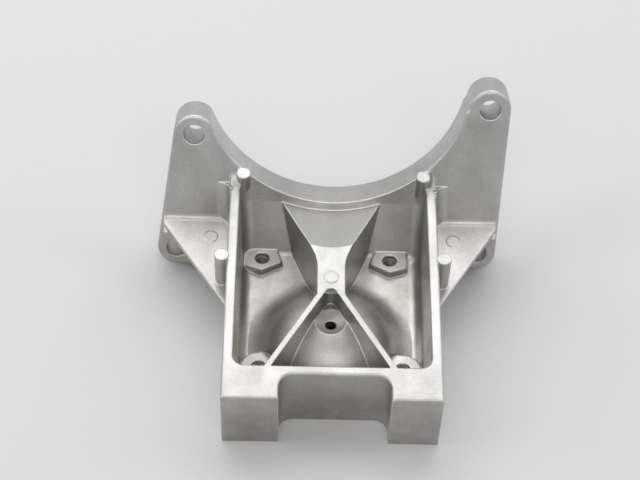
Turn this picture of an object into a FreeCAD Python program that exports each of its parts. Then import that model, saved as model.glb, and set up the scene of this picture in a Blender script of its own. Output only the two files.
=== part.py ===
import FreeCAD, Part
import math
import os

from FreeCAD import Placement, Rotation, Vector

# A cast aluminium transmission mount bracket. It is one casting: an open box with a thick
# notched block at its front and a leaning plate at its back, which carries four bolt holes
# and a round saddle. Two flat wings tie the plate to the sides of the box.
# X runs across the bracket, Y towards the plate, Z up. The bracket stands on its base.

# The plate at the back. Heights are measured up its back face from the foot line
plate_lean = 19.5            # degrees from upright, the top away from the box
plate_thickness = 23.5
foot_length = 156.0          # front foot of the block to the foot line of the plate
saddle_height = 130.8        # axis of the saddle
saddle_radius = 83.5
upper_ear_radius = 13.0
lower_ear_radius = 12.5
upper_left_out = 88.2        # bolt holes, out from the middle and up the plate
upper_left_up = 93.3
upper_right_out = 96.4
upper_right_up = 114.4
lower_left_out = 100.0
lower_right_out = 94.2
bolt_hole_diameter = 13.5
plate_corner_radius = 4.0    # corners between the saddle and the ears
plate_edge_radius = 2.0
hollow_rim = 6.5             # wall left round the hollow in the back of the plate
hollow_depth = 13.0
hollow_rib = 5.0

# The open box, measured in the frame of its rim
rim_slope = 5.6              # degrees, the rim rises towards the plate
body_width = 131.0
body_height = 51.0           # front foot to rim
wall_thickness = 6.4         # at the rim
floor_height = 8.0           # front foot to the floor, along the front wall
floor_thickness = 6.0
wall_draft = 4.0             # degrees
block_depth = 23.0           # front face to the box, at the rim
box_corner_radius = 7.0
back_wall_height = 37.5      # where the back wall starts to lean out of the plate
back_wall_lean = 36.0        # degrees from upright
rim_radius = 1.5
rim_blend_radius = 13.0      # hollow round from the rim up to the plate
blend_sink = 0.2             # how far that round runs into the plate

# The notch in the front block
notch_width = 66.4
notch_offset = 1.7
notch_depth = 17.0
notch_corner_radius = 8.5

# The dome in the floor, with the cup for the rubber mount under it
dome_radius = 55.0
dome_height = 42.0           # base to the top of the dome
dome_x = -0.8
dome_y = 58.0
dome_wall = 6.5
dish_radius = 11.5
dish_depth = 3.0
centre_hole_diameter = 6.8
cup_radius = 35.0

# The hourglass web and its two ribs
web_x = -1.0
waist_half = 8.4
waist_y = 80.5
bend_half = 11.6
bend_y = 109.0
fan_half = 31.4
fan_gap = 0.8                # saddle edge down to the foot of the fan
web_draft = 3.0
rib_width = 3.2
rib_foot_half = 39.0         # outer edge of a rib at the block
rib_apex_radius = 6.0
web_edge = 0.7

# Threaded bosses on the floor, placed along the base
boss_radius = 11.5
boss_draft = 5.0
boss_edge = 0.8
rear_boss_height = 24.5
front_boss_height = 17.5
rear_boss_y = 126.0
front_boss_y = 43.5
rear_left_out = 44.5
rear_right_out = 37.5
front_out = 44.5
thread_hole_diameter = 8.5
thread_chamfer = 0.8

# The wings, and the round pads that push the casting out of its mould
wing_drop = 25.0             # rim to the top of a wing
wing_thickness = 4.5
wing_reach_y = 80.0          # where the slanting edge meets the wall
wing_tip = 5.0               # short square end beside the plate
wing_fillet = 5.0
wall_fillet = 9.0
pad_diameter = 9.0
post_out = 3.2               # centre of a post, out from the wall
post_y = 101.0
post_rise = 2.0              # top of a post above the rim
bump_out = 12.0
bump_y = 133.5
bump_rise = 0.7
corner_pad_inset = 8.5       # centre of a corner pad, in from the side of the box
corner_pad_y = 160.5
corner_pad_rise = 7.5
waist_pad_y = 86.5
waist_pad_rise = 0.7

reach = 400.0                # longer than the whole bracket, for cutting tools
seat = 3.0                   # how deep an added form sits in what carries it


def rise(angle):
    return math.tan(math.radians(angle))


def cosine(angle):
    return math.cos(math.radians(angle))


def sine(angle):
    return math.sin(math.radians(angle))


half_width = body_width / 2
inner_half = half_width - wall_thickness
lean_in_rim = plate_lean + rim_slope
foot_y = foot_length * cosine(rim_slope)
foot_z = -foot_length * sine(rim_slope)
face_y = foot_y - plate_thickness * cosine(lean_in_rim)
face_z = foot_z + plate_thickness * sine(lean_in_rim)
plate_place = Placement(Vector(0, foot_length, 0), Rotation(Vector(1, 0, 0), 90 - plate_lean))
upper_left = Vector(-upper_left_out, upper_left_up, 0)
upper_right = Vector(upper_right_out, upper_right_up, 0)
lower_left = Vector(-lower_left_out, lower_ear_radius, 0)
lower_right = Vector(lower_right_out, lower_ear_radius, 0)
saddle_centre = Vector(0, saddle_height, 0)
saddle_bottom_z = face_z + (saddle_height - saddle_radius) * cosine(lean_in_rim)
deep = foot_z - seat


def plate_front(z):
    """Where the front face of the plate stands at a height in the frame of the rim."""
    return face_y + (z - face_z) * rise(lean_in_rim)


def along_plate(z):
    return (z - face_z) / cosine(lean_in_rim)


def from_rim(shape):
    """Turn a shape from the frame of the rim into the frame of the base."""
    moved = shape.copy()
    moved.rotate(Vector(0, 0, 0), Vector(1, 0, 0), rim_slope)
    return moved


def from_plate(shape):
    """Turn a shape from the frame of the plate into the frame of the base."""
    moved = shape.copy()
    moved.Placement = plate_place.multiply(shape.Placement)
    return moved


def solid_between(lower, upper):
    """A solid with flat sides between two outlines that have as many corners."""
    faces = [Part.Face(Part.makePolygon(points + points[:1])) for points in (lower, upper)]
    for i in range(len(lower)):
        j = (i + 1) % len(lower)
        faces.append(Part.Face(Part.makePolygon([lower[i], lower[j], upper[j], upper[i], lower[i]])))
    solid = Part.Solid(Part.Shell(faces))
    if solid.Volume < 0:
        solid.reverse()
    return solid


def flat_outline(points, z):
    return [Vector(x, y, z) for x, y in points]


def box_between(low, high):
    size = high - low
    return Part.makeBox(size.x, size.y, size.z, low)


def disc(centre, radius):
    return Part.Face(Part.Wire(Part.makeCircle(radius, centre)))


def one_solid(shape):
    return shape.Solids[0] if shape.ShapeType != "Solid" else shape


def tangent_points(a, a_radius, b, b_radius, side):
    """Where the straight line beside two circles touches them."""
    along = b - a
    length = along.Length
    along.normalize()
    across = Vector(-along.y, along.x, 0) * side
    slope = (a_radius - b_radius) / length
    normal = along * slope + across * math.sqrt(1 - slope * slope)
    return a + normal * a_radius, b + normal * b_radius


def arm_face(a, a_radius, b, b_radius):
    """Two round ends and the straight sides between them."""
    a1, b1 = tangent_points(a, a_radius, b, b_radius, -1)
    a2, b2 = tangent_points(a, a_radius, b, b_radius, 1)
    along = (b - a).normalize()
    edges = [
        Part.LineSegment(a1, b1).toShape(),
        Part.Arc(b1, b + along * b_radius, b2).toShape(),
        Part.LineSegment(b2, a2).toShape(),
        Part.Arc(a2, a - along * a_radius, a1).toShape(),
    ]
    return Part.Face(Part.Wire(edges))


def plate_outline():
    left_arm = arm_face(upper_left, upper_ear_radius, lower_left, lower_ear_radius)
    right_arm = arm_face(upper_right, upper_ear_radius, lower_right, lower_ear_radius)
    foot = arm_face(lower_left, lower_ear_radius, lower_right, lower_ear_radius)
    middle = Part.Face(Part.makePolygon([upper_left, lower_left, lower_right, upper_right, upper_left]))
    outline = left_arm.fuse([right_arm, foot, middle]).removeSplitter()
    outline = outline.cut(disc(saddle_centre, saddle_radius)).Faces[0]
    filled = outline.makeOffset2D(plate_corner_radius)
    return filled.makeOffset2D(-2 * plate_corner_radius).makeOffset2D(plate_corner_radius)


def make_plate():
    solid = one_solid(plate_outline().extrude(Vector(0, 0, plate_thickness)))
    back = [e for e in solid.Edges if e.BoundBox.ZMax < 0.01]
    solid = solid.makeChamfer(plate_edge_radius / 2, back)
    front = [e for e in solid.Edges if e.BoundBox.ZMin > plate_thickness - 0.01]
    return from_plate(solid.makeFillet(plate_edge_radius, front))


def side_profile():
    """The box seen from the side, with the hollow round from its rim to the plate."""
    corner = Vector(0, plate_front(body_height) + blend_sink, body_height)
    up = Vector(0, sine(lean_in_rim), cosine(lean_in_rim))
    opening = math.radians(90 + lean_in_rim)
    touch = rim_blend_radius / math.tan(opening / 2)
    middle = (up - Vector(0, 1, 0)).normalize()
    start = corner - Vector(0, touch, 0)
    nearest = corner + middle * (rim_blend_radius / math.sin(opening / 2) - rim_blend_radius)
    end = corner + up * touch
    into_plate = Vector(0, cosine(lean_in_rim), -sine(lean_in_rim)) * (plate_thickness / 2)
    back = end + into_plate
    foot = back - up * ((back.z - deep) / up.z)
    front_top = Vector(0, 0, body_height)
    front_foot = Vector(0, 0, deep)
    edges = [
        Part.LineSegment(front_foot, front_top).toShape(),
        Part.LineSegment(front_top, start).toShape(),
        Part.Arc(start, nearest, end).toShape(),
        Part.LineSegment(end, back).toShape(),
        Part.LineSegment(back, foot).toShape(),
        Part.LineSegment(foot, front_foot).toShape(),
    ]
    return Part.Face(Part.Wire(edges))


def make_box_outside():
    profile = side_profile()
    profile.translate(Vector(-half_width, 0, 0))
    return one_solid(profile.extrude(Vector(body_width, 0, 0)))


def make_box_inside():
    """The space in the box, with drafted walls, a leaning back and round corners."""
    def outline(z):
        inward = (body_height - z) * rise(wall_draft)
        half = inner_half - inward
        front = block_depth + inward
        return flat_outline([(-half, front), (half, front), (half, reach), (-half, reach)], z)

    top = body_height + 3 * rim_blend_radius
    space = solid_between(outline(floor_height), outline(top))
    behind_plate = Part.makeBox(2 * reach, reach, 2 * reach, Vector(-reach, 0, -reach))
    behind_plate.rotate(Vector(0, 0, 0), Vector(1, 0, 0), -lean_in_rim)
    behind_plate.translate(Vector(0, plate_front(body_height), body_height))
    space = space.cut(behind_plate)
    behind_wall = Part.makeBox(2 * reach, reach, 2 * reach, Vector(-reach, 0, -reach))
    behind_wall.rotate(Vector(0, 0, 0), Vector(1, 0, 0), -back_wall_lean)
    behind_wall.translate(Vector(0, plate_front(back_wall_height), back_wall_height))
    space = one_solid(space.cut(behind_wall))
    corners = [e for e in space.Edges if e.BoundBox.XLength < body_height / 3 and is_upright(e)]
    space = space.makeFillet(box_corner_radius, corners)
    floor_edges = [e for e in space.Edges if e.BoundBox.ZMax < floor_height + 0.01]
    return space.makeFillet(box_corner_radius, floor_edges)


def is_upright(edge):
    return edge.BoundBox.ZLength > 2 * edge.BoundBox.XLength and edge.BoundBox.ZLength > seat


def make_notch():
    cutter = box_between(
        Vector(notch_offset - notch_width / 2, -reach, -reach),
        Vector(notch_offset + notch_width / 2, notch_depth, reach),
    )
    corners = [e for e in cutter.Edges if e.BoundBox.ZLength > reach and e.BoundBox.YMin > 0]
    return cutter.makeFillet(notch_corner_radius, corners)


def make_shell():
    """The walls of the box and the notched block, with a rounded rim."""
    shell = one_solid(make_box_outside().cut(make_box_inside()).cut(make_notch()))
    last = plate_front(body_height)
    rim = []
    for edge in shell.Edges:
        box = edge.BoundBox
        on_rim = box.ZMin > body_height - 0.01
        if on_rim and box.YMin < last and not box.YMin > last - 0.01:
            rim.append(edge)
    return shell.makeFillet(rim_radius, rim)


def fan_wire(z, spread):
    """The outline of the web between its waist and the plate, with hollow sides."""
    front = waist_y - waist_half - spread
    back = plate_front(saddle_bottom_z) + seat
    fan = fan_half + spread
    bend = bend_half + spread
    waist = waist_half + spread
    corners = [(-waist, front), (-bend, bend_y), (-fan, back), (fan, back), (bend, bend_y), (waist, front)]
    a, b, c, d, e, f = [Vector(web_x + x, y, z) for x, y in corners]
    edges = [
        Part.Arc(a, b, c).toShape(),
        Part.LineSegment(c, d).toShape(),
        Part.Arc(d, e, f).toShape(),
        Part.LineSegment(f, a).toShape(),
    ]
    return Part.Wire(edges)


def make_fan():
    spread = (body_height - floor_height) * rise(web_draft)
    wires = [fan_wire(floor_height - seat, spread), fan_wire(body_height, 0)]
    return one_solid(Part.makeLoft(wires, True, True))


def rib_lines(side):
    """The four corners of a rib on one side, seen from above."""
    start = Vector(side * waist_half, waist_y - rib_apex_radius, 0)
    end = Vector(side * rib_foot_half, block_depth, 0)
    along = (end - start).normalize()
    inward = Vector(-along.y, along.x, 0)
    if inward.x * side > 0:
        inward = inward * -1
    end = end + along * seat
    start = start - along * rib_apex_radius
    return start, end, inward


def make_rib(side):
    start, end, inward = rib_lines(side)
    low = floor_height - seat

    def outline(z):
        spread = (body_height - z) * rise(web_draft)
        near = inward * -spread
        far = inward * (rib_width + spread)
        middle = Vector(web_x, 0, z)
        return [p + middle for p in (start + near, end + near, end + far, start + far)]

    return solid_between(outline(low), outline(body_height))


def make_web():
    """The hourglass: a fan towards the plate and two thin ribs towards the block."""
    web = make_fan().fuse([make_rib(-1), make_rib(1), make_apex()])
    fall = Part.makeBox(2 * reach, reach, reach, Vector(-reach, 0, 0))
    low_z = saddle_bottom_z - fan_gap
    low_y = plate_front(low_z)
    angle = math.degrees(math.atan((body_height - low_z) / (low_y - bend_y)))
    fall.rotate(Vector(0, 0, 0), Vector(1, 0, 0), -angle)
    fall.translate(Vector(0, bend_y, body_height))
    web = one_solid(web.cut(fall).removeSplitter())
    top = []
    for edge in web.Edges:
        ends = edge.BoundBox
        level = ends.ZMin > body_height - 0.01
        if level and ends.YMax < bend_y + 0.01 and ends.YMin < bend_y - 0.01 and ends.YMax > block_depth:
            top.append(edge)
    return web.makeChamfer(web_edge, top)


def make_apex():
    """The rounded filling between the two ribs at the waist."""
    start, end, inward = rib_lines(1)
    along = (end - start).normalize()
    inner = start + inward * rib_width
    meet = inner + along * (inner.x / -along.x)
    half_angle = math.atan2(abs(along.x), abs(along.y))
    centre_y = meet.y - rib_apex_radius / math.sin(half_angle)
    block = [(0, centre_y), (waist_half, centre_y), (waist_half, waist_y), (0, waist_y)]
    touch_x = rib_apex_radius * math.cos(half_angle)
    touch_y = centre_y + rib_apex_radius * math.sin(half_angle)
    block = [(-touch_x - 1, touch_y), (touch_x + 1, touch_y), (waist_half - 1, waist_y), (1 - waist_half, waist_y)]
    points = flat_outline([(web_x + x, y) for x, y in block], floor_height - seat)
    filling = Part.Face(Part.makePolygon(points + points[:1])).extrude(Vector(0, 0, body_height - floor_height + seat))
    hollow = Part.makeCylinder(rib_apex_radius, reach, Vector(web_x, centre_y, -seat))
    return one_solid(filling.cut(hollow))


def edge_of_plate(side, up):
    """How far out the plate reaches at a height up its face."""
    if side < 0:
        a, b = tangent_points(upper_left, upper_ear_radius, lower_left, lower_ear_radius, -1)
    else:
        a, b = tangent_points(upper_right, upper_ear_radius, lower_right, lower_ear_radius, 1)
    share = (a.y - up) / (a.y - b.y)
    return abs(a.x + (b.x - a.x) * share)


def corner_fill(corner, first, second, radius, run):
    """The filling of a hollow corner between two flat faces, with a round front."""
    angle = first.getAngle(second)
    touch = radius / math.tan(angle / 2)
    middle = (first + second).normalize()
    start = corner + first * touch
    end = corner + second * touch
    nearest = corner + middle * (radius / math.sin(angle / 2) - radius)
    sunk = middle * seat
    edges = [
        Part.LineSegment(corner - sunk, start - sunk).toShape(),
        Part.LineSegment(start - sunk, start).toShape(),
        Part.Arc(start, nearest, end).toShape(),
        Part.LineSegment(end, end - sunk).toShape(),
        Part.LineSegment(end - sunk, corner - sunk).toShape(),
    ]
    return Part.Face(Part.Wire(edges)).extrude(run)


def make_wing(side):
    """A flat gusset between the side of the box and the plate, with its fillets."""
    top = body_height - wing_drop
    tip_x = edge_of_plate(side, along_plate(top - wing_thickness / 2)) - plate_edge_radius
    back = plate_front(top)
    corners = [
        (half_width - seat, wing_reach_y - seat),
        (half_width, wing_reach_y),
        (tip_x, back - wing_tip),
        (tip_x, back + seat),
        (half_width - seat, back + seat),
    ]
    points = flat_outline([(side * x, y) for x, y in corners], top - wing_thickness)
    wing = Part.Face(Part.makePolygon(points + points[:1])).extrude(Vector(0, 0, wing_thickness))
    slanting = []
    for edge in wing.Edges:
        box = edge.BoundBox
        if box.ZLength < 0.01 and box.YMax < back and box.XLength > 2 * seat:
            slanting.append(edge)
    wing = wing.makeFillet(wing_thickness / 4, slanting)
    up = Vector(0, sine(lean_in_rim), cosine(lean_in_rim))
    front = Vector(0, -1, 0)
    out = Vector(side, 0, 0)
    inner_edge = Vector(side * (half_width - seat), back, top)
    long_fillet = corner_fill(inner_edge, front, up, wing_fillet, out * (tip_x - half_width + seat))
    low = plate_front(top - wing_thickness)
    under_edge = Vector(side * (half_width - seat), low, top - wing_thickness)
    under_fillet = corner_fill(under_edge, front, up * -1, wing_fillet, out * (tip_x - half_width + seat))
    foot_edge = Vector(side * half_width, plate_front(top - seat), top - seat)
    run = up * ((body_height - rim_radius - top + seat) / up.z)
    normal = Vector(0, -cosine(lean_in_rim), sine(lean_in_rim))
    upright = corner_fill(foot_edge, normal, out, wall_fillet, run)
    return wing.fuse([long_fillet, under_fillet, upright])


def make_lower_corner(side):
    """The upright fillet between the box and the plate, below the wing."""
    up = Vector(0, sine(lean_in_rim), cosine(lean_in_rim))
    normal = Vector(0, -cosine(lean_in_rim), sine(lean_in_rim))
    top = body_height - wing_drop - wing_thickness / 2
    foot = Vector(side * half_width, plate_front(face_z + seat), face_z + seat)
    return corner_fill(foot, normal, Vector(side, 0, 0), wall_fillet, up * ((top - foot.z) / up.z))


def round_pad(x, y, low, high):
    pad = Part.makeCylinder(pad_diameter / 2, high - low, Vector(x, y, low))
    edge = [e for e in pad.Edges if e.BoundBox.ZMin > high - 0.01]
    return pad.makeChamfer(0.4, edge)


def make_pads():
    wing_top = body_height - wing_drop
    pads = [round_pad(web_x, waist_pad_y, floor_height, body_height + waist_pad_rise)]
    for side in (-1, 1):
        post_x = side * (half_width + post_out)
        pads.append(round_pad(post_x, post_y, wing_top - seat, body_height + post_rise))
        bump_x = side * (half_width + bump_out)
        pads.append(round_pad(bump_x, bump_y, wing_top - seat, wing_top + bump_rise))
        corner_x = side * (half_width - corner_pad_inset)
        pads.append(round_pad(corner_x, corner_pad_y, body_height - wing_drop, body_height + corner_pad_rise))
    return pads


def make_dome():
    """The dome over the rubber mount, with a dished top."""
    centre = Vector(dome_x, dome_y, dome_height - dome_radius)
    ball = Part.makeSphere(dome_radius, centre)
    keep = box_between(Vector(-half_width + seat, block_depth, 0), Vector(half_width - seat, foot_length, reach))
    dish_ball = (dish_radius ** 2 + dish_depth ** 2) / (2 * dish_depth)
    dish = Part.makeSphere(dish_ball, Vector(dome_x, dome_y, dome_height - dish_depth + dish_ball))
    return ball.common(keep).cut(dish)


def boss_places():
    return [
        (-rear_left_out, rear_boss_y, rear_boss_height),
        (rear_right_out, rear_boss_y, rear_boss_height),
        (-front_out, front_boss_y, front_boss_height),
        (front_out, front_boss_y, front_boss_height),
    ]


def make_bosses():
    bosses = []
    for x, y, top in boss_places():
        foot = boss_radius + top * rise(boss_draft)
        boss = Part.makeCone(foot, boss_radius, top, Vector(x, y, 0))
        edge = [e for e in boss.Edges if e.BoundBox.ZMin > top - 0.01]
        bosses.append(boss.makeChamfer(boss_edge, edge))
    return bosses


def thread_holes():
    holes = []
    for x, y, top in boss_places():
        hole = Part.makeCylinder(thread_hole_diameter / 2, top + 2 * seat, Vector(x, y, -seat))
        wide = thread_hole_diameter / 2 + thread_chamfer
        narrow = thread_hole_diameter / 2
        holes.append(hole)
        holes.append(Part.makeCone(wide, narrow, thread_chamfer, Vector(x, y, 0)))
        holes.append(Part.makeCone(narrow, wide, thread_chamfer, Vector(x, y, top - thread_chamfer)))
    return holes


def bolt_holes():
    holes = []
    for place in (upper_left, upper_right, lower_left, lower_right):
        hole = Part.makeCylinder(bolt_hole_diameter / 2, plate_thickness + 2 * seat, place - Vector(0, 0, seat))
        holes.append(from_plate(hole))
    return holes


def make_cup():
    """The space for the rubber mount, with a round roof and the hole through it."""
    centre = Vector(dome_x, dome_y, dome_height - dome_radius)
    column = Part.makeCylinder(cup_radius, dome_height + seat, Vector(dome_x, dome_y, -seat))
    cup = column.common(Part.makeSphere(dome_radius - dome_wall, centre))
    hole = Part.makeCylinder(centre_hole_diameter / 2, dome_height, Vector(dome_x, dome_y, 0))
    return cup.fuse(hole)


def make_base_hollow():
    """The space under the rear of the floor, left between the cup and the bosses."""
    depth = from_rim(box_between(
        Vector(-half_width + wall_thickness + seat, -reach, -reach),
        Vector(half_width - wall_thickness - seat, reach, floor_height - floor_thickness),
    ))
    wide = box_between(
        Vector(-half_width, dome_y, -seat),
        Vector(half_width, rear_boss_y + boss_radius + seat, floor_height + foot_length * rise(rim_slope)),
    )
    space = depth.common(wide)
    keep = [Part.makeCylinder(cup_radius + dome_wall, reach, Vector(dome_x, dome_y, -seat))]
    for x, y, top in boss_places():
        keep.append(Part.makeCylinder(boss_radius, reach, Vector(x, y, -seat)))
    return space.cut(keep)


def make_back_hollow():
    """The hollow in the back of the plate, left between its rim, its ears and three ribs."""
    inner = plate_outline().makeOffset2D(-hollow_rim)
    space = inner.extrude(Vector(0, 0, hollow_depth))
    keep = []
    for place in (upper_left, upper_right, lower_left, lower_right):
        keep.append(Part.makeCylinder(bolt_hole_diameter / 2 + hollow_rim, reach, place - Vector(0, 0, seat)))
    for x in (-half_width + wall_thickness / 2, 0, half_width - wall_thickness / 2):
        keep.append(Part.makeBox(hollow_rib, reach, reach, Vector(x - hollow_rib / 2, -seat, -seat)))
    return from_plate(space.cut(keep))


def make_bracket():
    rim_parts = [make_web(), make_wing(-1), make_wing(1), make_lower_corner(-1), make_lower_corner(1)]
    rim_parts = [from_rim(part) for part in rim_parts + make_pads()]
    body = from_rim(make_shell()).fuse([make_dome()] + make_bosses() + rim_parts)
    saddle = Part.makeCylinder(saddle_radius, plate_thickness, saddle_centre)
    body = body.cut(from_plate(saddle))
    below = box_between(Vector(-reach, -reach, -reach), Vector(reach, reach, 0))
    spaces = [from_rim(make_notch()), below, make_cup(), make_base_hollow(), make_back_hollow()]
    bracket = body.fuse(make_plate()).cut(spaces + bolt_holes() + thread_holes())
    return one_solid(bracket.removeSplitter())


def place_on_middle(shape):
    """Move the bracket so that the middle of its footprint is the origin."""
    box = shape.optimalBoundingBox(False)
    shape.translate(Vector(-(box.XMin + box.XMax) / 2, -(box.YMin + box.YMax) / 2, -box.ZMin))
    return shape


bracket = place_on_middle(make_bracket())
os.makedirs("parts", exist_ok=True)
bracket.exportStep("parts/bracket_casting.step")
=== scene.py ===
import math

import bmesh
import bpy
from mathutils import Matrix, Vector


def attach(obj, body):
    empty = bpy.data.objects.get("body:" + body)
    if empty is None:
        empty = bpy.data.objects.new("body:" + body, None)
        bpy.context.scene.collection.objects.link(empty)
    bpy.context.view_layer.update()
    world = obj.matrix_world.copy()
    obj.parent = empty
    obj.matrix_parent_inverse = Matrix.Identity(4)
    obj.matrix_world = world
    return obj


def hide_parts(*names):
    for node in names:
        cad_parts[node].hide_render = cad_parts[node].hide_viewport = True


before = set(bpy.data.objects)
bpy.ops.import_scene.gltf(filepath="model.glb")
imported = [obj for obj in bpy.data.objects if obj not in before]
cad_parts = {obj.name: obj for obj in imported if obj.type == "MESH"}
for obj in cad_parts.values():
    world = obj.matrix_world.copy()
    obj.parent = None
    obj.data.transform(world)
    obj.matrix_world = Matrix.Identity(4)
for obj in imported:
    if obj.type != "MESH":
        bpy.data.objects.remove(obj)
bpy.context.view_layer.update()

scene = bpy.context.scene
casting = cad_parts["bracket_casting"]
print("frame loaded")


def addObject(name, data):
    holder = bpy.data.objects.new(name, data)
    scene.collection.objects.link(holder)
    return holder


# The camera stands where the photo was taken from

cameraSetup = {
    "aim": (-0.0053, 0.0674, 0.0),  # where the line of sight meets the floor
    "distance": 1.1693,
    "azimuth": 1.315,  # degrees, to the right of +Y
    "elevation": 48.39,
    "roll": 2.18,
    "lens": 98.44,
    "farthest": 20,
}


def makeCamera(setup):
    azimuth = math.radians(setup["azimuth"])
    elevation = math.radians(setup["elevation"])
    roll = math.radians(setup["roll"])
    flat = Vector((math.sin(azimuth), math.cos(azimuth), 0))
    sight = flat * math.cos(elevation) - Vector((0, 0, math.sin(elevation)))
    level = Vector((flat.y, -flat.x, 0))
    upright = level.cross(sight)
    right = level * math.cos(roll) + upright * math.sin(roll)
    up = upright * math.cos(roll) - level * math.sin(roll)
    place = Vector(setup["aim"]) - sight * setup["distance"]
    lens = bpy.data.cameras.new("photoCamera")
    lens.lens = setup["lens"]
    lens.clip_end = setup["farthest"]
    camera = addObject("photoCamera", lens)
    rows = [(right[i], up[i], -sight[i], place[i]) for i in range(3)]
    camera.matrix_world = Matrix(rows + [(0, 0, 0, 1)])
    scene.camera = camera


makeCamera(cameraSetup)
print("camera set")


# Nodes

def addNode(tree, kind, place, **values):
    node = tree.nodes.new(kind)
    node.location = place
    for key, value in values.items():
        setattr(node, key, value)
    return node


def feed(tree, value, socket):  # a constant is set on the socket, an output is linked to it
    if isinstance(value, (int, float, tuple)):
        socket.default_value = value
    else:
        tree.links.new(value, socket)


def combine(tree, operation, place, values, clamp=False):
    node = addNode(tree, "ShaderNodeMath", place, operation=operation, use_clamp=clamp)
    for value, socket in zip(values, node.inputs):
        feed(tree, value, socket)
    return node.outputs[0]


def noise(tree, vector, place, scale, detail, rough):
    node = addNode(tree, "ShaderNodeTexNoise", place)
    values = {"Vector": vector, "Scale": scale, "Detail": detail, "Roughness": rough}
    for label, value in values.items():
        feed(tree, value, node.inputs[label])
    return node.outputs["Fac"]


def spread(tree, value, place, source, target):  # maps the source range to the target range
    node = addNode(tree, "ShaderNodeMapRange", place)
    feed(tree, value, node.inputs["Value"])
    for label, bounds in (("From", source), ("To", target)):
        feed(tree, bounds[0], node.inputs[label + " Min"])
        feed(tree, bounds[1], node.inputs[label + " Max"])
    return node.outputs["Result"]


def mixColour(tree, factor, first, second, place, mode="MIX"):
    node = addNode(tree, "ShaderNodeMix", place, data_type="RGBA", blend_type=mode)
    for value, index in ((factor, 0), (first, 6), (second, 7)):
        feed(tree, value, node.inputs[index])
    return node.outputs[2]


# Four softboxes and a pale room

lightSetup = {
    "aim": (0.0, 0.0, 0.05),
    "room": 0.3,
    "backdrop": 0.9,  # what the camera, metal and glass see of the room
    "lamps": {
        "topBox": {"place": (-0.1, 0.8, 1.3), "size": (2.2, 1.3), "power": 14.0},
        "frontBox": {"place": (0.0, -1.1, 1.5), "size": (1.3, 0.6), "power": 5.0},
        "leftBox": {"place": (-1.3, -0.2, 1.0), "size": (0.8, 0.9), "power": 4.0},
        "rightBox": {"place": (1.3, 0.2, 1.0), "size": (0.6, 0.9), "power": 3.0},
    },
}


def makeLamp(name, aim, place, size, power):
    lamp = bpy.data.lights.new(name, "AREA")
    lamp.shape = "RECTANGLE"
    lamp.size, lamp.size_y = size
    lamp.energy = power
    holder = addObject(name, lamp)
    holder.location = place
    sight = Vector(aim) - Vector(place)
    holder.rotation_euler = sight.to_track_quat("-Z", "Y").to_euler()


def makeRoom(setup):
    world = bpy.data.worlds.new("paleRoom")
    world.use_nodes = True
    scene.world = world
    tree = world.node_tree
    tree.nodes.clear()
    path = addNode(tree, "ShaderNodeLightPath", (-900, 300))
    seen = path.outputs["Is Camera Ray"]
    for ray in ("Is Glossy Ray", "Is Transmission Ray"):
        seen = combine(tree, "MAXIMUM", (-600, 300), (seen, path.outputs[ray]))
    strength = addNode(tree, "ShaderNodeMix", (-200, 200), data_type="FLOAT")
    strength.inputs["A"].default_value = setup["room"]
    strength.inputs["B"].default_value = setup["backdrop"]
    tree.links.new(seen, strength.inputs["Factor"])
    glow = addNode(tree, "ShaderNodeBackground", (100, 200))
    tree.links.new(strength.outputs["Result"], glow.inputs["Strength"])
    out = addNode(tree, "ShaderNodeOutputWorld", (300, 200))
    tree.links.new(glow.outputs[0], out.inputs["Surface"])


for name, values in lightSetup["lamps"].items():
    makeLamp(name, lightSetup["aim"], **values)
makeRoom(lightSetup)
scene.view_settings.view_transform = "Standard"
print("light set")


# Finishes

def newGroup(name, inputs, outputs):
    group = bpy.data.node_groups.new(name, "ShaderNodeTree")
    for label, kind, value in inputs:
        socket = group.interface.new_socket(name=label, in_out="INPUT", socket_type=kind)
        socket.default_value = value
    for label, kind in outputs:
        group.interface.new_socket(name=label, in_out="OUTPUT", socket_type=kind)
    start = addNode(group, "NodeGroupInput", (-900, 0))
    end = addNode(group, "NodeGroupOutput", (900, 0))
    return group, start.outputs, end.inputs


def makeSkinGroup():  # the skin of a casting: mould grain, cloudy patches and a few flow marks
    group, start, end = newGroup(
        "castSkin",
        [
            ("Pale", "NodeSocketColor", (0.7, 0.7, 0.7, 1)),
            ("Dull", "NodeSocketColor", (0.5, 0.5, 0.5, 1)),
            ("Grain Scale", "NodeSocketFloat", 900.0),
            ("Patch Scale", "NodeSocketFloat", 25.0),
            ("Smooth", "NodeSocketFloat", 0.35),
            ("Rough", "NodeSocketFloat", 0.5),
        ],
        [
            ("Colour", "NodeSocketColor"),
            ("Roughness", "NodeSocketFloat"),
            ("Height", "NodeSocketFloat"),
        ],
    )
    place = addNode(group, "ShaderNodeTexCoord", (-900, -300)).outputs["Object"]
    stretched = addNode(group, "ShaderNodeMapping", (-700, -300))
    stretched.inputs["Scale"].default_value = (1.0, 0.35, 0.6)
    group.links.new(place, stretched.inputs["Vector"])
    along = stretched.outputs["Vector"]
    scale = start["Patch Scale"]
    patches = noise(group, place, (-500, 200), scale, detail=5.0, rough=0.6)
    flow = noise(group, along, (-500, -100), scale, detail=4.0, rough=0.7)
    grain = noise(group, place, (-500, -400), start["Grain Scale"], detail=2.0, rough=0.6)
    both = combine(group, "ADD", (-250, 50), (patches, flow))
    cloud = spread(group, both, (-50, 50), source=(0.75, 1.3), target=(0.0, 1.0))
    colour = mixColour(group, cloud, start["Dull"], start["Pale"], (200, 200))
    speck = spread(group, grain, (0, -200), source=(0.35, 0.7), target=(0.94, 1.04))
    colour = mixColour(group, 1.0, colour, speck, (450, 200), "MULTIPLY")
    shine = spread(group, cloud, (200, -50), (0.0, 1.0), (start["Rough"], start["Smooth"]))
    height = combine(group, "MULTIPLY_ADD", (250, -350), (flow, 0.6, grain))
    for value, label in ((colour, "Colour"), (shine, "Roughness"), (height, "Height")):
        group.links.new(value, end[label])
    return group


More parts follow.
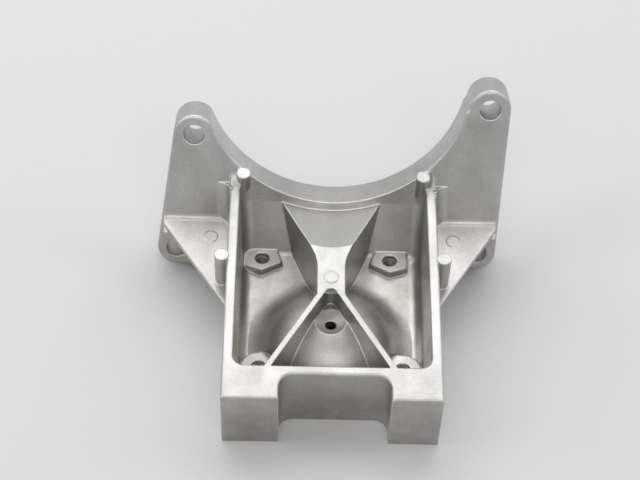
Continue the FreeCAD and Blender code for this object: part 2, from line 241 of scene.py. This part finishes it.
def makePaintedShadeGroup():  # painted shade: the colour turns browner and darker low down in the cells, where shade falls
    group, start, end = newGroup(
        "cellPaintedShade",
        [
            ("Colour", "NodeSocketColor", (0.7, 0.7, 0.7, 1)),
            ("Painted Shade", "NodeSocketColor", (0.3, 0.26, 0.22, 1)),
            ("Low", "NodeSocketFloat", 0.02),
            ("High", "NodeSocketFloat", 0.06),
            ("Amount", "NodeSocketFloat", 0.5),
        ],
        [("Colour", "NodeSocketColor")],
    )
    place = addNode(group, "ShaderNodeTexCoord", (-900, -300)).outputs["Object"]
    parts = addNode(group, "ShaderNodeSeparateXYZ", (-700, -300))
    group.links.new(place, parts.inputs[0])
    levels = (start["Low"], start["High"])
    # the painted shade grows towards the floor and is broken up by noise
    depth = spread(group, parts.outputs["Z"], (-450, -200), levels, target=(1.0, 0.0))
    cloud = noise(group, place, (-450, -450), scale=45.0, detail=5.0, rough=0.7)
    cloud = spread(group, cloud, (-200, -450), source=(0.38, 0.66), target=(0.25, 1.0))
    shadeMask = combine(group, "MULTIPLY", (0, -250), (depth, cloud))
    share = combine(group, "MULTIPLY", (200, -250), (shadeMask, start["Amount"]), clamp=True)
    colour = mixColour(group, share, start["Colour"], start["Painted Shade"], (500, 100))
    group.links.new(colour, end["Colour"])
    return group


edgeSetup = {
    "radius": 0.0013,
    "samples": 6,
    "flat": 0.99,  # where the rounded and the true normal agree better, there is no edge
}


def makeEdgeGroup(setup):  # rounds sharp edges for the light, and tells how near an edge is, which places the painted highlight along edges
    group, start, end = newGroup(
        "softEdges",
        [("Sharpest", "NodeSocketFloat", 0.8), ("Painted Highlight", "NodeSocketFloat", 1.0)],
        [("Normal", "NodeSocketVector"), ("Edge", "NodeSocketFloat")],
    )
    soft = addNode(group, "ShaderNodeBevel", (-600, 0), samples=setup["samples"])
    soft.inputs["Radius"].default_value = setup["radius"]
    surface = addNode(group, "ShaderNodeNewGeometry", (-600, -250))
    bend = addNode(group, "ShaderNodeVectorMath", (-350, -100), operation="DOT_PRODUCT")
    group.links.new(soft.outputs["Normal"], bend.inputs[0])
    group.links.new(surface.outputs["Normal"], bend.inputs[1])
    agree = bend.outputs["Value"]
    levels = (setup["flat"], start["Sharpest"])
    near = spread(group, agree, (-100, -100), levels, (0.0, start["Painted Highlight"]))
    group.links.new(soft.outputs["Normal"], end["Normal"])
    group.links.new(near, end["Edge"])
    return group


skinGroup = makeSkinGroup()
paintedShadeGroup = makePaintedShadeGroup()
edgeGroup = makeEdgeGroup(edgeSetup)


def useGroup(tree, group, place, values):
    node = addNode(tree, "ShaderNodeGroup", place, node_tree=group)
    for label, value in values.items():
        node.inputs[label].default_value = value
    return node


def makeMetal(name, look):
    metal = bpy.data.materials.new(name)
    metal.use_nodes = True
    tree = metal.node_tree
    shader = tree.nodes["Principled BSDF"]
    shader.inputs["Metallic"].default_value = look["metallic"]
    skin = useGroup(tree, skinGroup, (-700, 100), look["skin"])
    # painted shade: the colour darkens and browns low down
    paintedShade = useGroup(tree, paintedShadeGroup, (-400, 250), look["paintedShade"])
    edges = useGroup(tree, edgeGroup, (-700, -400), look["edges"])
    tree.links.new(skin.outputs["Colour"], paintedShade.inputs["Colour"])
    plain = paintedShade.outputs["Colour"]
    # painted highlight: the colour is lightened along the edges
    highlighted = mixColour(tree, edges.outputs["Edge"], plain, look["highlightColour"], (-150, 250))
    tree.links.new(highlighted, shader.inputs["Base Color"])
    tree.links.new(skin.outputs["Roughness"], shader.inputs["Roughness"])
    bump = addNode(tree, "ShaderNodeBump", (-300, -250))
    bump.inputs["Strength"].default_value = look["bumpStrength"]
    bump.inputs["Distance"].default_value = look["bumpDepth"]
    tree.links.new(skin.outputs["Height"], bump.inputs["Height"])
    tree.links.new(edges.outputs["Normal"], bump.inputs["Normal"])
    tree.links.new(bump.outputs["Normal"], shader.inputs["Normal"])
    return metal


castLook = {
    "metallic": 0.92,
    "bumpStrength": 0.35,
    "bumpDepth": 0.0004,
    # painted highlight along the edges
    "highlightColour": (0.86, 0.855, 0.845, 1),
    "edges": {"Sharpest": 0.86, "Painted Highlight": 0.8},
    "skin": {
        "Pale": (0.6, 0.597, 0.59, 1),
        "Dull": (0.43, 0.427, 0.42, 1),
        "Grain Scale": 900.0,
        "Patch Scale": 28.0,
        "Smooth": 0.3,
        "Rough": 0.46,
    },
    # painted shade low down in the cells
    "paintedShade": {"Painted Shade": (0.29, 0.25, 0.2, 1), "Low": 0.02, "High": 0.062, "Amount": 0.6},
}

cutLook = {  # the cut threads, brighter and smoother than the casting
    "metallic": 1.0,
    "bumpStrength": 0.1,
    "bumpDepth": 0.0001,
    # painted highlight along the edges
    "highlightColour": (0.7, 0.69, 0.68, 1),
    "edges": {"Sharpest": 0.8, "Painted Highlight": 0.3},
    "skin": {
        "Pale": (0.6, 0.59, 0.58, 1),
        "Dull": (0.4, 0.39, 0.38, 1),
        "Grain Scale": 2500.0,
        "Patch Scale": 200.0,
        "Smooth": 0.25,
        "Rough": 0.4,
    },
    # painted shade low down in the holes
    "paintedShade": {"Painted Shade": (0.2, 0.17, 0.15, 1), "Low": 0.0, "High": 0.03, "Amount": 0.4},
}

castMetal = makeMetal("castAluminium", castLook)
cutMetal = makeMetal("cutAluminium", cutLook)
for slot in casting.material_slots:
    slot.material = castMetal
print("finishes made")


# The cells of the casting: the frame's mesh is copied, its cells are cut out and built again,
# finer. Lengths are in mm, in the frame of the rim where nothing else is said

bracketPlace = {
    "slope": 5.6,  # degrees, the rim rises towards the plate
    "shift": (1.55, -96.678, 0.0),  # from the front foot of the block to the middle of the model
}


def fromBase(points):
    return [(Vector(point) + Vector(bracketPlace["shift"])) * 0.001 for point in points]


def fromRim(points):
    turn = Matrix.Rotation(math.radians(bracketPlace["slope"]), 3, "X")
    return fromBase([turn @ Vector(point) for point in points])


def tangent(angle):
    return math.tan(math.radians(angle))


def arc(centre, radius, first, last, steps):
    points = []
    for i in range(steps + 1):
        angle = math.radians(first + (last - first) * i / steps)
        points.append((centre[0] + radius * math.cos(angle), centre[1] + radius * math.sin(angle)))
    return points


def roundedCorners(points, radius, steps):  # a flat outline with each corner rounded
    rounded = []
    for i, point in enumerate(points):
        corner = Vector(point)
        before = (Vector(points[i - 1]) - corner).normalized()
        after = (Vector(points[(i + 1) % len(points)]) - corner).normalized()
        half = before.angle(after) / 2
        centre = corner + (before + after).normalized() * radius / math.sin(half)
        start = corner + before * radius / math.tan(half) - centre
        end = corner + after * radius / math.tan(half) - centre
        whole = start.angle(end)
        for step in range(steps + 1):
            share = step / steps
            spoke = start * math.sin((1 - share) * whole) + end * math.sin(share * whole)
            rounded.append(tuple(centre + spoke / math.sin(whole)))
    return rounded


def ringSolid(name, rings):  # a closed solid through rings of points, with flat ends
    count = len(rings[0])
    points = [point for ring in rings for point in ring]
    faces = [tuple(range(count)), tuple(range(len(points) - count, len(points)))]
    for low in range(0, len(points) - count, count):
        for i in range(count):
            j = (i + 1) % count
            faces.append((low + i, low + j, low + count + j, low + count + i))
    form = bmesh.new()
    corners = [form.verts.new(point) for point in points]
    for face in faces:
        form.faces.new([corners[i] for i in face])
    bmesh.ops.recalc_face_normals(form, faces=form.faces)
    mesh = bpy.data.meshes.new(name)
    form.to_mesh(mesh)
    form.free()
    return addObject(name, mesh)


def roundSolid(name, x, y, profile, place, steps=48):  # the profile holds radius and height
    rings = []
    for radius, z in profile:
        angles = [2 * math.pi * i / steps for i in range(steps)]
        ring = [(x + radius * math.cos(a), y + radius * math.sin(a), z) for a in angles]
        rings.append(place(ring))
    return ringSolid(name, rings)


def wideSolid(name, levels, half=90):  # wider than the bracket, from front to back at each level
    rings = []
    for z, front, back in levels:
        corners = [(-half, front, z), (half, front, z), (half, back, z), (-half, back, z)]
        rings.append(fromRim(corners))
    return ringSolid(name, rings)


def work(solid, tools, how):  # joins tools to a solid, or cuts them from it
    for tool in tools:
        modifier = solid.modifiers.new(how, "BOOLEAN")
        modifier.operation = how
        modifier.solver = "EXACT"
        modifier.object = tool
    bpy.context.view_layer.update()
    seen = solid.evaluated_get(bpy.context.evaluated_depsgraph_get())
    mesh = bpy.data.meshes.new_from_object(seen)
    solid.modifiers.clear()
    solid.data = mesh
    for tool in tools:
        bpy.data.objects.remove(tool)
    return solid


cellSpace = {
    "rim": 51.0,
    "floor": 7.9,
    "top": 88.0,
    "half": 59.22,
    "front": 22.88,
    "draft": 4.0,
    "plate": 160.325,  # where the plate's front stands at the height of the rim
    "plateLean": 25.1,
    "gap": 0.03,  # so that the plate's front isn't cut
    "bend": 37.5,  # below this height the back wall leans more
    "wallLean": 36.0,
    "corner": 6.8,
    "tightest": 0.4,  # the corners' radius at the floor
    "steps": 8,
}


def makeCellSpace(setup):
    radius = setup["corner"]
    plate = setup["plate"] - setup["gap"]

    def ring(z, inset):
        inward = (setup["rim"] - z) * tangent(setup["draft"]) + inset
        half = setup["half"] - inward
        front = setup["front"] + inward
        back = plate + (max(z, setup["bend"]) - setup["rim"]) * tangent(setup["plateLean"])
        back -= max(setup["bend"] - z, 0) * tangent(setup["wallLean"])
        back -= inset
        corners = [(-half, front), (half, front), (half, back), (-half, back)]
        turn = max(radius - inset, setup["tightest"])
        outline = roundedCorners(corners, turn, setup["steps"])
        return fromRim([(x, y, z) for x, y in outline])

    rings = []
    for step in range(setup["steps"] + 1):
        angle = math.pi / 2 * step / setup["steps"]
        z = setup["floor"] + radius * (1 - math.cos(angle))
        rings.append(ring(z, radius * (1 - math.sin(angle))))
    for z in (setup["bend"], setup["rim"], setup["top"]):
        rings.append(ring(z, 0))
    return ringSolid("cellSpace", rings)


bossSetup = {  # from the base
    "rear": [(-44.5, 126.0, 24.5), (37.5, 126.0, 24.5)],
    "front": [(-44.5, 43.5, 17.5), (44.5, 43.5, 17.5)],
    "rearFoot": 15.0,
    "frontFoot": 8.0,
    "radius": 11.5,
    "draft": 5.0,
    "edge": 0.8,
    "point": 13.3,  # a rear boss, from its hole to the corner towards the dome
    "side": 6.3,
    "tip": 10.4,
    "back": 8.5,
    "corner": 2.0,
    "cornerSteps": 5,
    "hole": 4.3,
    "holeSteps": 32,
}


def makeBosses(setup):
    bosses = []
    radius = setup["radius"]
    edge = setup["edge"]
    for x, y, top in setup["rear"]:
        inward = -1 if x > 0 else 1
        corners = [
            (-radius * inward, -setup["side"]),
            (0, -setup["tip"]),
            (setup["point"] * inward, -setup["side"] / 2),
            (setup["back"] * inward, radius),
            (-radius * inward, radius),
        ]
        outline = roundedCorners(corners, setup["corner"], setup["cornerSteps"])
        foot = setup["rearFoot"]
        wide = 1 + (top - foot) * tangent(setup["draft"]) / radius
        rings = []
        for z, scale in ((foot, wide), (top - edge, 1.0), (top, 1 - edge / radius)):
            rings.append(fromBase([(x + px * scale, y + py * scale, z) for px, py in outline]))
        bosses.append(ringSolid("rearBoss", rings))
    for x, y, top in setup["front"]:
        foot = setup["frontFoot"]
        wide = radius + (top - foot) * tangent(setup["draft"])
        profile = [(wide, foot), (radius, top - edge), (radius - edge, top)]
        bosses.append(roundSolid("frontBoss", x, y, profile, fromBase))
    return bosses


def makeHoles(setup):
    holes = []
    hole = setup["hole"]
    wide = hole + setup["edge"]
    for x, y, top in setup["rear"] + setup["front"]:
        profile = [(hole, -1), (hole, top - setup["edge"]), (wide, top), (wide, top + 2)]
        holes.append(roundSolid("threadHole", x, y, profile, fromBase, setup["holeSteps"]))
    return holes


domeSetup = {
    "crown": (-0.8, 62.02, 38.13),
    "radius": 46.0,
    "radiusSteps": 20,
    "radiusEnd": 89.5,  # degrees, the last ring stands just off the axis
    "footRadius": 20.0,
    "footSteps": 14,
    "sunk": 3.0,  # into the floor
    "steps": 96,
    "blockBack": 19.5,  # the dome ends inside the block
    "recessTop": 70.0,  # above the bosses
    "dishRadius": 11.5,
    "dishDepth": 3.0,
    "dishArc": (270.5, 307),
    "dishSteps": 12,
    "baseCrown": (-0.8, 58.0, 44.0),  # the crown again, from the base
    "cupRadius": 35.1,
    "cupBall": 48.6,
    "cupCentre": -13.0,
    "cupEnd": 89.6,
    "cupSteps": 20,
    "holeRadius": 3.4,
    "holeEnds": (10, 50),
}


def makeDome(setup):
    x, y, crown = setup["crown"]
    ball = crown - setup["radius"]
    footHeight = cellSpace["floor"] + setup["footRadius"]
    reach = setup["radius"] + setup["footRadius"]
    lean = math.asin((footHeight - ball) / reach)
    out = reach * math.cos(lean)
    degrees = math.degrees(lean)
    profile = [(out, cellSpace["floor"] - setup["sunk"])]
    foot = (out, footHeight)
    profile += arc(foot, setup["footRadius"], 270, 180 + degrees, setup["footSteps"])
    crownArc = (degrees, setup["radiusEnd"], setup["radiusSteps"])
    profile += arc((0, ball), setup["radius"], *crownArc)[1:]
    dome = roundSolid("dome", x, y, profile, fromRim, setup["steps"])
    tools = [wideSolid("inBlock", [(z, -20, setup["blockBack"]) for z in (-10, 70)])]
    depth = setup["dishDepth"]
    dish = (setup["dishRadius"] ** 2 + depth ** 2) / (2 * depth)
    x, y, crown = setup["baseCrown"]
    bowl = arc((0, crown - depth + dish), dish, *setup["dishArc"], setup["dishSteps"])
    tools.append(roundSolid("dish", x, y, bowl, fromBase))
    for x, y, top in bossSetup["rear"] + bossSetup["front"]:
        profile = [(bossSetup["radius"], z) for z in (top, setup["recessTop"])]
        tools.append(roundSolid("recess", x, y, profile, fromBase))
    return work(dome, tools, "DIFFERENCE")


def makeCup(setup):  # the seat under the dome, and the hole in its crown
    x, y, crown = setup["baseCrown"]
    edge = math.degrees(math.acos(setup["cupRadius"] / setup["cupBall"]))
    roof = arc((0, setup["cupCentre"]), setup["cupBall"], edge, setup["cupEnd"], setup["cupSteps"])
    profile = [(setup["cupRadius"], -1)] + roof
    hole = [(setup["holeRadius"], z) for z in setup["holeEnds"]]
    return [
        roundSolid("cup", x, y, profile, fromBase, setup["steps"]),
        roundSolid("hole", x, y, hole, fromBase),
    ]


webSetup = {
    "x": -1.0,
    "low": 5.0,
    "draft": 3.0,
    "waist": 8.4,
    "front": 74.2,
    "turnY": 100.0,
    "turnRadius": 31.0,
    "turnSteps": 8,
    "fanHalf": 31.9,
    "fanBack": 157.04,
    "bend": 109.0,
    "fallHeight": 32.98,  # where the falling face meets the plate
    "fallY": 151.88,
    "fallRadius": 100.0,
    "fallArc": (245, 295),
    "fallSteps": 24,
    "fallTop": 60,
    "fallEnds": (-3, 90),  # along the slope, from the bend
    "behind": 3,  # how far the web reaches into the plate
    "ribStart": (5.335, 79.658),
    "ribEnd": (40.53, 20.42),
    "ribWidth": 3.2,
    "apexY": 74.54,
    "apexRadius": 4.0,
    "apexSteps": 6,
    "apexReach": 9,
}


def makeWeb(setup):
    rim = cellSpace["rim"]
    middle = setup["x"]

    def drafted(name, outline):  # the outline widens towards the floor
        rings = []
        for z in (setup["low"], rim):
            flat = outline((rim - z) * tangent(setup["draft"]))
            rings.append(fromRim([(middle + x, y, z) for x, y in flat]))
        return ringSolid(name, rings)

    def fan(wider):
        waist = setup["waist"] + wider
        across = setup["fanHalf"] - setup["waist"]
        slant = Vector((across, setup["fanBack"] - setup["turnY"])).normalized()
        turn = math.degrees(math.atan2(slant.x, slant.y))
        run = setup["turnRadius"] * tangent(turn / 2)
        centre = (waist + setup["turnRadius"], setup["turnY"] - run)
        side = [(waist, setup["front"])]
        side += arc(centre, setup["turnRadius"], 180, 180 - turn, setup["turnSteps"])
        side.append((setup["fanHalf"] + wider, setup["fanBack"]))
        return side + [(-x, y) for x, y in reversed(side)]

    start = Vector(setup["ribStart"])
    end = Vector(setup["ribEnd"])
    along = (end - start).normalized()
    inward = Vector((along.y, -along.x))
    lean = math.degrees(math.atan2(along.x, -along.y))

    def rib(side):
        def outline(wider):
            near = inward * -wider
            far = inward * (setup["ribWidth"] + wider)
            corners = (start + near, end + near, end + far, start + far)
            return [(side * p.x, p.y) for p in corners]
        return drafted("rib", outline)

    def hollow(wider):  # the round corner between the ribs
        radius = setup["apexRadius"] - wider
        side = arc((0, setup["apexY"]), radius, lean, 90, setup["apexSteps"])
        reach = setup["apexReach"]
        side.insert(0, (side[0][0] + along.x * reach, side[0][1] + along.y * reach))
        return side + [(-x, y) for x, y in reversed(side[:-1])]

    def fall():  # what is cut away above the fan's hollow, falling face
        slope = math.atan((rim - setup["fallHeight"]) / (setup["fallY"] - setup["bend"]))
        radius = setup["fallRadius"]
        face = arc((0, radius), radius, *setup["fallArc"], setup["fallSteps"])
        face = [(face[0][0], setup["fallTop"])] + face + [(face[-1][0], setup["fallTop"])]
        rings = []
        for run in setup["fallEnds"]:
            ring = []
            for x, z in face:
                y = run * math.cos(slope) + z * math.sin(slope)
                height = rim - run * math.sin(slope) + z * math.cos(slope)
                ring.append((middle + x, setup["bend"] + y, height))
            rings.append(fromRim(ring))
        return ringSolid("fall", rings)

    def behind():  # what is cut away behind the plate's front
        levels = []
        for z in (-20, 80):
            lean = (z - rim) * tangent(cellSpace["plateLean"])
            front = cellSpace["plate"] + setup["behind"] + lean
            levels.append((z, front, front + 90))
        return wideSolid("behind", levels)

    web = work(drafted("web", fan), [rib(-1), rib(1)], "UNION")
    return work(web, [drafted("apex", hollow), fall(), behind()], "DIFFERENCE")


padSetup = {
    "places": [  # x, y, foot and top of each pad
        (-1.0, 86.5, 45.0, 51.7),
        (-57.0, 160.5, 26.0, 58.55),
        (57.0, 160.5, 26.0, 58.55),
    ],
    "radius": 4.56,
    "edge": 0.5,
    "steps": 32,
}


def makePads(setup):
    pads = []
    radius = setup["radius"]
    edge = setup["edge"]
    for x, y, foot, top in setup["places"]:
        profile = [(radius, foot), (radius, top - edge), (radius - edge, top)]
        pads.append(roundSolid("pad", x, y, profile, fromRim, setup["steps"]))
    return pads


castingSetup = {
    "weld": 2e-6,  # metres
    "sharpest": 22,  # degrees, sharper bends aren't smoothed
}


def makeCasting(setup):
    form = bmesh.new()
    form.from_mesh(casting.data)
    bmesh.ops.remove_doubles(form, verts=form.verts, dist=setup["weld"])
    points = [point.co.copy() for point in form.verts]
    faces = [[point.index for point in face.verts] for face in form.faces]
    form.free()
    mesh = bpy.data.meshes.new("fineCasting")
    mesh.from_pydata(points, [], faces)
    fine = addObject("fineCasting", mesh)
    work(fine, [makeCellSpace(cellSpace)], "DIFFERENCE")
    added = [makeDome(domeSetup), makeWeb(webSetup)]
    work(fine, added + makeBosses(bossSetup) + makePads(padSetup), "UNION")
    work(fine, makeCup(domeSetup) + makeHoles(bossSetup), "DIFFERENCE")
    fine.data.name = "fineCasting"
    fine.data.materials.clear()
    fine.data.materials.append(castMetal)
    count = len(fine.data.polygons)
    fine.data.polygons.foreach_set("material_index", [0] * count)
    fine.data.polygons.foreach_set("use_smooth", [True] * count)
    fine.data.set_sharp_from_angle(angle=math.radians(setup["sharpest"]))
    weight = fine.modifiers.new("weight", "WEIGHTED_NORMAL")
    weight.keep_sharp = True
    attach(fine, "root")
    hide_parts("bracket_casting")
    print("casting made with", count, "faces")


makeCasting(castingSetup)


# Threads in the four bosses of the floor

threadSetup = {
    "places": [  # x, y and top of each hole
        (-0.04295, 0.02932, 0.0245),
        (0.03905, 0.02932, 0.0245),
        (-0.04295, -0.05318, 0.0175),
        (0.04605, -0.05318, 0.0175),
    ],
    "wallRadius": 0.00432,
    "crestRadius": 0.00378,
    "pitch": 0.0015,
    "margin": 0.0012,  # plain length at each end of a hole
    "flank": 0.42,  # from the crest to the wall, as a share of the pitch
    "lift": 0.1,
    "steps": 28,
}


def makeThreads(setup):
    points = []
    faces = []
    steps = setup["steps"]
    pitch = setup["pitch"]
    wall = setup["wallRadius"]
    flank = setup["flank"]
    profile = ((wall, -flank), (setup["crestRadius"], 0.0), (wall, flank))
    for x, y, top in setup["places"]:
        turns = int((top - 2 * setup["margin"]) / pitch)
        first = len(points)
        for step in range(turns * steps + 1):
            angle = 2 * math.pi * step / steps
            middle = setup["margin"] + pitch * (step / steps + setup["lift"])
            for radius, offset in profile:
                z = middle + offset * pitch
                points.append((x + radius * math.cos(angle), y + radius * math.sin(angle), z))
        for step in range(turns * steps):
            a = first + 3 * step
            faces.append((a, a + 3, a + 4, a + 1))
            faces.append((a + 1, a + 4, a + 5, a + 2))
            faces.append((a + 2, a + 5, a + 3, a))
        last = first + 3 * turns * steps
        faces += [(first, first + 1, first + 2), (last, last + 2, last + 1)]
    mesh = bpy.data.meshes.new("threads")
    mesh.from_pydata(points, [], faces)
    mesh.materials.append(cutMetal)
    threads = addObject("threads", mesh)
    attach(threads, "root")


makeThreads(threadSetup)
print("threads made")


# Floor

floorSetup = {"size": 8.0, "colour": (0.86, 0.86, 0.87, 1), "roughness": 0.9}


def makeFloor(setup):
    half = setup["size"] / 2
    corners = [(-half, -half, 0), (half, -half, 0), (half, half, 0), (-half, half, 0)]
    mesh = bpy.data.meshes.new("floor")
    mesh.from_pydata(corners, [], [(0, 1, 2, 3)])
    paper = bpy.data.materials.new("palePaper")
    paper.use_nodes = True
    shader = paper.node_tree.nodes["Principled BSDF"]
    shader.inputs["Base Color"].default_value = setup["colour"]
    shader.inputs["Roughness"].default_value = setup["roughness"]
    mesh.materials.append(paper)
    addObject("floor", mesh)


makeFloor(floorSetup)
print("floor made")
